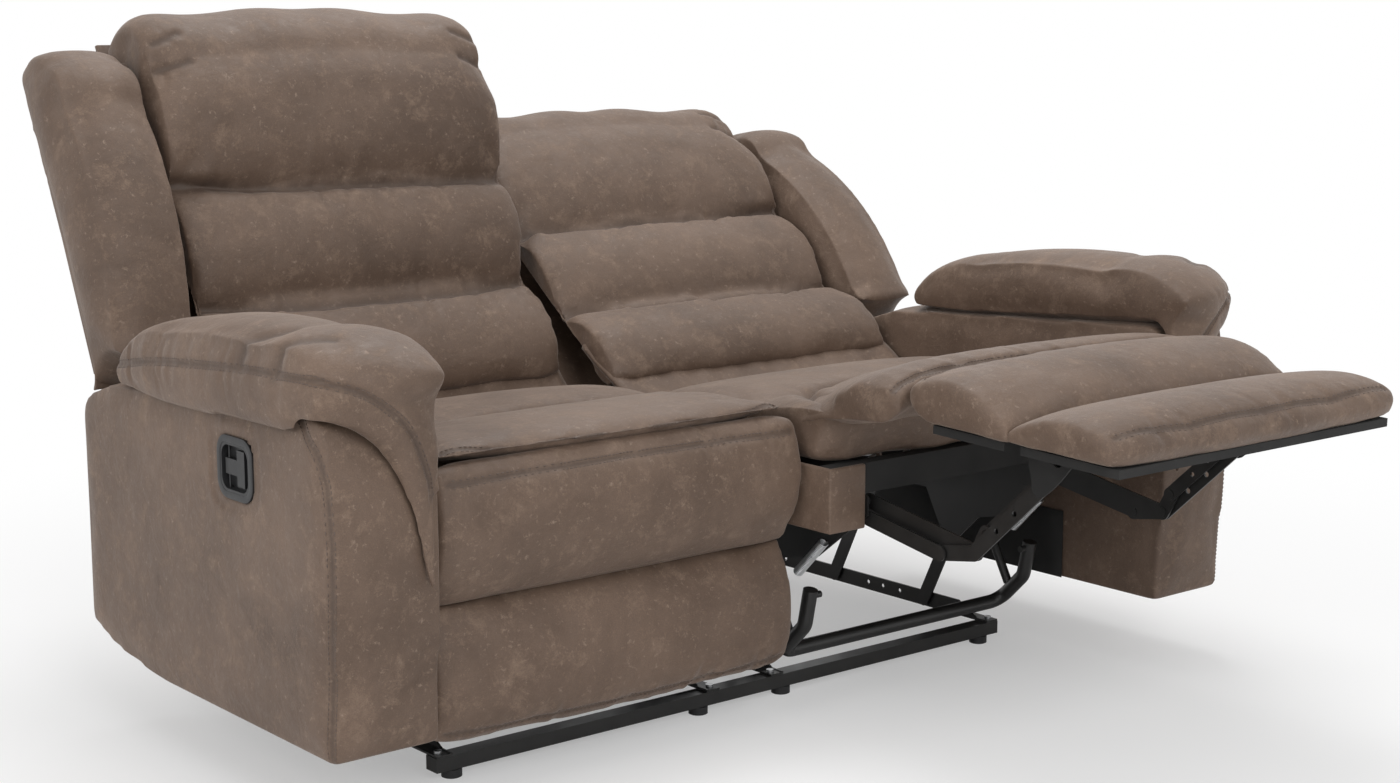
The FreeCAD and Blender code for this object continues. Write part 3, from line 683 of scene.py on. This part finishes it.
for seed, side in enumerate(sides):
    piece = copy_of(arm, side + "arm_shell")
    seam = line_on(piece, ARM_SEAM, INWARD)
    sew(piece, [seam], depth=0.0025, width=0.005, gather=0.0012, wave=0.06, spread=0.03, seed=11 + seed)
    settle(stitched(side + "arm_stitching", piece, [seam], (0.006, -0.006)), side, "carriage")
    settle(piece, side, "carriage")
    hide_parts(side + "arm_cover")
drop(arm)


# Seat cushions.
# Foam block in a loose fabric cover. Its nose is a stuffed roll, sewn to the seat along an arched seam, with
# a double-stitched seam along its front edge, over the leg-rest pad.
NOSE_SEAM = [
    (0.035, 0.06, 0.45), (0.05, 0.15, 0.45), (0.085, 0.225, 0.45), (0.16, 0.28, 0.45), (0.28, 0.295, 0.45),
    (0.39, 0.268, 0.45), (0.48, 0.215, 0.45), (0.55, 0.14, 0.45), (0.58, 0.07, 0.45),
]
FRONT_SEAM = [
    (0.012, 0.036, 0.46), (0.08, 0.022, 0.46), (0.18, 0.014, 0.46), (0.3, 0.011, 0.46),
    (0.42, 0.014, 0.46), (0.52, 0.024, 0.46), (0.588, 0.04, 0.46),
]
NOSE_REACH = 0.02
mesh = unit_solid("seat_cushion")
points = places(mesh)
ahead = np.clip((0.1 - points[:, 1]) / 0.06, 0, 1) * (points[:, 2] > 0.43)
points[:, 1] -= NOSE_REACH * ahead
put(mesh, points)
seat = stuffed("seat_pad", mesh, 0.009, 0.022, SEAT_INNER, SEAT_OUTER, voxel=0.0075)
for seed, side in enumerate(sides):
    piece = copy_of(seat, side + "seat_pad")
    arch = line_on(piece, NOSE_SEAM, DOWN)
    front = line_on(piece, FRONT_SEAM, DOWN)
    sew(piece, [arch], depth=0.012, width=0.014, gather=0.003, wave=0.06, spread=0.05, seed=21 + seed)
    sew(piece, [front], depth=0.0025, width=0.004, gather=0.0015, wave=0.04, spread=0.03, seed=23 + seed)
    settle(stitched(side + "seat_stitching", piece, [front]), side, "carriage")
    settle(piece, side, "carriage")
    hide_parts(side + "seat_cushion")
drop(seat)


# Stretched nose of the reclined seat.
# When the footrest is out, the loose cover of the nose is pulled up and forward to the leg-rest pad.
NOSE_SECTIONS = 25
loft = bmesh.new()
rings = []
for number in range(NOSE_SECTIONS):
    x = 0.006 + 0.586 * number / (NOSE_SECTIONS - 1)
    rear = 0.33 - (0.2 * ((0.33 - x) / 0.33) ** 2 if x < 0.33 else 0.09 * ((x - 0.33) / 0.23) ** 2)
    front = -0.048 - 0.04 * x / 0.6
    top = 0.53 - 0.03 * math.exp(-x / 0.05) - 0.012 * math.exp(-(0.6 - x) / 0.03)
    outline = [
        (rear + 0.006, 0.425), (rear, 0.444), (rear - 0.05, 0.456), (rear * 0.62, 0.476), (rear * 0.3, 0.502),
        (front + 0.07, top - 0.004), (front + 0.02, top), (front, top - 0.012), (front, top - 0.035),
        (front + 0.03, top - 0.055), (0.08, 0.442), (0.2, 0.42),
    ]
    rings.append([loft.verts.new((x, y, z)) for y, z in outline])
for first, second in zip(rings[:-1], rings[1:]):
    for k in range(len(first)):
        loft.faces.new((first[k - 1], first[k], second[k], second[k - 1]))
loft.faces.new(rings[0])
loft.faces.new(rings[-1][::-1])
bmesh.ops.recalc_face_normals(loft, faces=loft.faces)
mesh = bpy.data.meshes.new("nose")
loft.to_mesh(mesh)
loft.free()
piece = stuffed("right_seat_nose", mesh, 0.004, 0.014, SEAT_INNER, SEAT_OUTER, voxel=0.0075, smoothing=6)
NOSE_FRONT_SEAM = [(0.01, -0.03, 0.53), (0.2, -0.04, 0.53), (0.4, -0.054, 0.53), (0.59, -0.066, 0.53)]
front = line_on(piece, NOSE_FRONT_SEAM, DOWN)
sew(piece, [front], depth=0.004, width=0.006, gather=0.003, wave=0.05, spread=0.06, seed=25)
threads = settle(stitched("right_nose_stitching", piece, [front]), "right_", "carriage")
settle(piece, "right_", "carriage")
for soft in (piece, threads):
    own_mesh(soft)


# Leg-rest pads.
# Two stuffed pads on the footrest's boards, meeting in a crease, each closed with a double-stitched seam.
LEG_SEAM = [(0.02, 0.02, 0.425), (0.12, 0.0, 0.428), (0.3, 0.0, 0.43), (0.48, 0.0, 0.428), (0.58, 0.02, 0.425)]
FOOT_SEAM = [(0.02, 0.03, 0.1), (0.12, 0.0, 0.096), (0.3, 0.0, 0.094), (0.48, 0.0, 0.096), (0.58, 0.03, 0.1)]
for name, solid, path, meeting, shift in (
    ("lower_leg_pad", "footrest_pad", FOOT_SEAM, 0.25, 0.007),
    ("upper_leg_pad", "legrest_pad", LEG_SEAM, 0.28, -0.007),
):
    mesh = unit_solid(solid)
    points = places(mesh)
    edge = points[:, 2] > meeting if shift > 0 else points[:, 2] < meeting
    points[edge, 2] += shift
    points[:, 2] += 0.01 * np.clip((points[:, 2] - 0.4) / 0.03, 0, 1)
    put(mesh, points)
    pad = stuffed(name, mesh, 0.004, 0.02, SEAT_INNER, SEAT_OUTER)
    for seed, side in enumerate(sides):
        piece = copy_of(pad, side + name)
        seam = line_on(piece, path, FORWARD)
        sew(piece, [seam], depth=0.003, width=0.005, gather=0.0025, wave=0.04, spread=0.04, seed=31 + seed)
        settle(stitched(side + name + "_stitching", piece, [seam]), side, "footrest")
        settle(piece, side, "footrest")
        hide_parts(side + solid)
    drop(pad)


# Arm pads.
# Loose fibre filling in a gathered cover: a side seam runs from the rear tip over the front and down inside,
# and two tufts fold the top.
PAD_SEAM = [
    (0.775, 0.53, 0.53), (0.776, 0.396, 0.551), (0.776, 0.274, 0.562), (0.776, 0.168, 0.57),
    (0.776, 0.08, 0.573), (0.772, 0.0, 0.574),
]
PAD_FRONT_SEAM = [
    (0.768, -0.02, 0.574), (0.724, -0.05, 0.56), (0.687, -0.05, 0.536), (0.654, -0.05, 0.502),
    (0.624, -0.05, 0.43), (0.614, -0.05, 0.341),
]
TUFTS = [
    [(0.775, 0.085, 0.575), (0.76, 0.07, 0.605), (0.72, 0.04, 0.62)],
    [(0.775, 0.17, 0.585), (0.755, 0.16, 0.605), (0.725, 0.13, 0.62)],
]
arm_pad = stuffed("arm_rest_pad", unit_solid("arm_pad"), 0.007, 0.018, 0.5995, 0.787, voxel=0.0065, smoothing=6)
for seed, side in enumerate(sides):
    piece = copy_of(arm_pad, side + "arm_rest_pad")
    seams = [line_on(piece, PAD_SEAM, INWARD), line_on(piece, PAD_FRONT_SEAM, FORWARD)]
    tufts = [line_on(piece, path, (-0.5, 0, -1)) for path in TUFTS]
    sew(piece, tufts, depth=0.005, width=0.012, gather=0.0015, wave=0.03, spread=0.03, seed=43 + seed)
    sew(piece, seams, depth=0.004, width=0.005, gather=0.002, wave=0.035, spread=0.04, seed=41 + seed)
    settle(stitched(side + "arm_pad_stitching", piece, seams), side, "carriage")
    settle(piece, side, "carriage")
    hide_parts(side + "arm_pad")
drop(arm_pad)


# Backs.
# Three fibre-filled rolls sewn across, with gathers along both seams and at the top corners.
LOWER_ROLL_SEAM = [(0.01, 0.5, 0.577), (0.15, 0.5, 0.573), (0.3, 0.5, 0.572), (0.45, 0.5, 0.573), (0.59, 0.5, 0.58)]
UPPER_ROLL_SEAM = [(0.01, 0.5, 0.735), (0.15, 0.5, 0.738), (0.3, 0.5, 0.74), (0.45, 0.5, 0.742), (0.59, 0.5, 0.748)]
CORNER_FOLDS = [
    [(0.575, 0.74, 0.95), (0.535, 0.76, 0.965)], [(0.578, 0.72, 0.91), (0.53, 0.73, 0.925)],
    [(0.02, 0.74, 0.95), (0.06, 0.76, 0.965)], [(0.018, 0.72, 0.91), (0.06, 0.73, 0.925)],
]
BACK_OUTER = 0.5975
rolls = stuffed("back_rolls", unit_solid("back_cushion"), 0.009, 0.024, SEAT_INNER, BACK_OUTER)
for seed, side in enumerate(sides):
    piece = copy_of(rolls, side + "back_rolls")
    seams = [line_on(piece, path, FORWARD, 0.3) for path in (LOWER_ROLL_SEAM, UPPER_ROLL_SEAM)]
    corners = [line_on(piece, path, FORWARD, 0.3) for path in CORNER_FOLDS]
    sew(piece, corners, depth=0.005, width=0.007, gather=0.002, wave=0.02, spread=0.03, seed=53 + seed)
    sew(piece, seams, depth=0.012, width=0.011, gather=0.004, wave=0.05, spread=0.055, seed=51 + seed)
    settle(piece, side, "back")
    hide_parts(side + "back_cushion")
drop(rolls)


# Side bolsters of the backs.
# A long soft pad at the outer side of each back, closed behind with a welted seam.
WING_SEAM = [
    (0.735, 0.71, 0.52), (0.738, 0.775, 0.66), (0.738, 0.835, 0.78), (0.735, 0.885, 0.88),
]
WING_OUTER = 0.748
wing = stuffed("wing_pad", unit_solid("back_wing"), 0.009, 0.022, SEAT_OUTER, WING_OUTER, smoothing=8)
for seed, side in enumerate(sides):
    piece = copy_of(wing, side + "wing_pad")
    seam = line_on(piece, WING_SEAM, INWARD)
    sew(piece, [seam], depth=0.003, width=0.005, gather=0.0025, wave=0.04, spread=0.035, seed=61 + seed)
    settle(stitched(side + "wing_stitching", piece, [seam]), side, "back")
    settle(piece, side, "back")
    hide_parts(side + "back_wing")
drop(wing)


# Lining between seat and back.
# A padded strip of cover fabric that closes the crevice behind the seat and bends at the recline hinge.
CREVICE = [(0.505, 0.405), (0.53, 0.402), (0.552, 0.415), (0.574, 0.438), (0.592, 0.47), (0.615, 0.51)]
CREVICE_THICKNESS = 0.008
COLUMNS = 40
BEND_START, BEND_END = (0.3, 0.53, 0.4), (0.3, 0.6, 0.48)
for side in sides:
    mesh = bpy.data.meshes.new(side + "crevice_lining")
    strip = bmesh.new()
    columns = []
    for number in range(COLUMNS + 1):
        x = 0.008 + 0.584 * number / COLUMNS
        sag = 0.002 * math.sin(number * 1.7)
        run = [(y, z + sag) for _, y, z in course([(0, y, z) for y, z in CREVICE], 0.008)]
        columns.append([strip.verts.new((x, y, z)) for y, z in run])
    for first, second in zip(columns[:-1], columns[1:]):
        for k in range(1, len(first)):
            strip.faces.new((first[k - 1], first[k], second[k], second[k - 1]))
    bmesh.ops.recalc_face_normals(strip, faces=strip.faces)
    strip.to_mesh(mesh)
    strip.free()
    piece = piece_from(mesh, side + "crevice_lining")
    apply_modifier(piece, "SOLIDIFY", thickness=CREVICE_THICKNESS, offset=0)
    mesh = piece.data
    bpy.ops.object.shade_smooth()
    mesh.materials.append(suede)
    start = Vector(BEND_START)
    span = Vector(BEND_END) - start
    seated, leaning = standing(side, "carriage"), standing(side, "back")
    for vertex in mesh.vertices:
        share = min(1.0, max(0.0, (vertex.co - start).dot(span) / span.length_squared))
        share = share * share * (3 - 2 * share)
        vertex.co = (seated @ vertex.co).lerp(leaning @ vertex.co, share)
    if side == "left_":
        mesh.flip_normals()
    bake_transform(piece)


# Outside backs and seat-box flaps.
# Cover fabric stretched over board, so these stay flat, with rounded edges.
for side in sides:
    for name, body in (("back_panel", "back"), ("box_flap", "carriage")):
        piece = piece_from(nodes[side + name].data.copy(), side + name + "_cover")
        piece.data.materials.clear()
        cleaner = bmesh.new()
        cleaner.from_mesh(piece.data)
        bmesh.ops.remove_doubles(cleaner, verts=cleaner.verts, dist=1e-5)
        bmesh.ops.dissolve_limit(cleaner, angle_limit=math.radians(1), verts=cleaner.verts, edges=cleaner.edges)
        cleaner.to_mesh(piece.data)
        cleaner.free()
        apply_modifier(piece, "BEVEL", width=0.003, segments=3, limit_method="ANGLE", angle_limit=math.radians(40))
        bpy.ops.object.shade_smooth_by_angle(angle=math.radians(35))
        piece.data.materials.append(suede)
        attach(piece, side + body)
        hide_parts(side + name)


# Dust covers of the arms.
# Thin black cloth stapled over the open lower part of the arm's inner side, behind its front wrap.
ROWS = 12
for side in sides:
    mesh = bpy.data.meshes.new(side + "arm_dust_cover")
    sheet = bmesh.new()
    grid = []
    for row in range(ROWS + 1):
        y = 0.185 + 0.45 * row / ROWS
        low = 0.107 + 0.02 * max(0.0, (y - 0.45) / 0.2)
        line = []
        for column in range(5):
            z = low + (0.215 - low) * column / 4
            slack = 0.002 * math.sin(math.pi * column / 4) * (1 + 0.5 * math.sin(row * 2.1))
            line.append(sheet.verts.new((0.6005 - 0.0005 + slack * 0.3, y, z)))
        grid.append(line)
    for first, second in zip(grid[:-1], grid[1:]):
        for k in range(1, 5):
            sheet.faces.new((first[k - 1], first[k], second[k], second[k - 1]))
    bmesh.ops.recalc_face_normals(sheet, faces=sheet.faces)
    sheet.to_mesh(mesh)
    sheet.free()
    piece = piece_from(mesh, side + "arm_dust_cover")
    apply_modifier(piece, "SOLIDIFY", thickness=0.0008, offset=0)
    bpy.ops.object.shade_smooth()
    piece.data.materials.append(black_cloth)
    settle(piece, side, "carriage")


# Handles.
# A moulded cup let into the arm's outer panel, its thin rim lying on the fabric, and a T-shaped pull lever.
RIM_X = 0.7632
for side in sides:
    dress(side + "handle_bezel", black_plastic)
    dress(side + "release_handle", black_plastic)
    bpy.ops.mesh.primitive_plane_add(size=1.0)
    rim = bpy.context.object
    rim.name = side + "handle_rim"
    bpy.ops.object.mode_set(mode="EDIT")
    bpy.ops.mesh.select_all(action="SELECT")
    bpy.ops.transform.resize(value=(CUP_HALF[0] * 2 + 0.006, CUP_HALF[1] * 2 + 0.006, 1))
    bpy.ops.mesh.bevel(offset=0.024, segments=8, affect="VERTICES")
    bpy.ops.mesh.inset(thickness=0.009)
    bpy.ops.mesh.delete(type="FACE")
    bpy.ops.object.mode_set(mode="OBJECT")
    rim.data.transform(Matrix((
        (0, 0, 1, RIM_X), (1, 0, 0, HANDLE_CENTRE[0]), (0, 1, 0, HANDLE_CENTRE[1]), (0, 0, 0, 1),
    )))
    apply_modifier(rim, "SOLIDIFY", thickness=0.003, offset=-1)
    apply_modifier(rim, "BEVEL", width=0.0009, segments=3, limit_method="ANGLE")
    bpy.ops.object.shade_smooth_by_angle(angle=math.radians(35))
    rim.data.materials.append(black_plastic)
    settle(rim, side, "carriage")
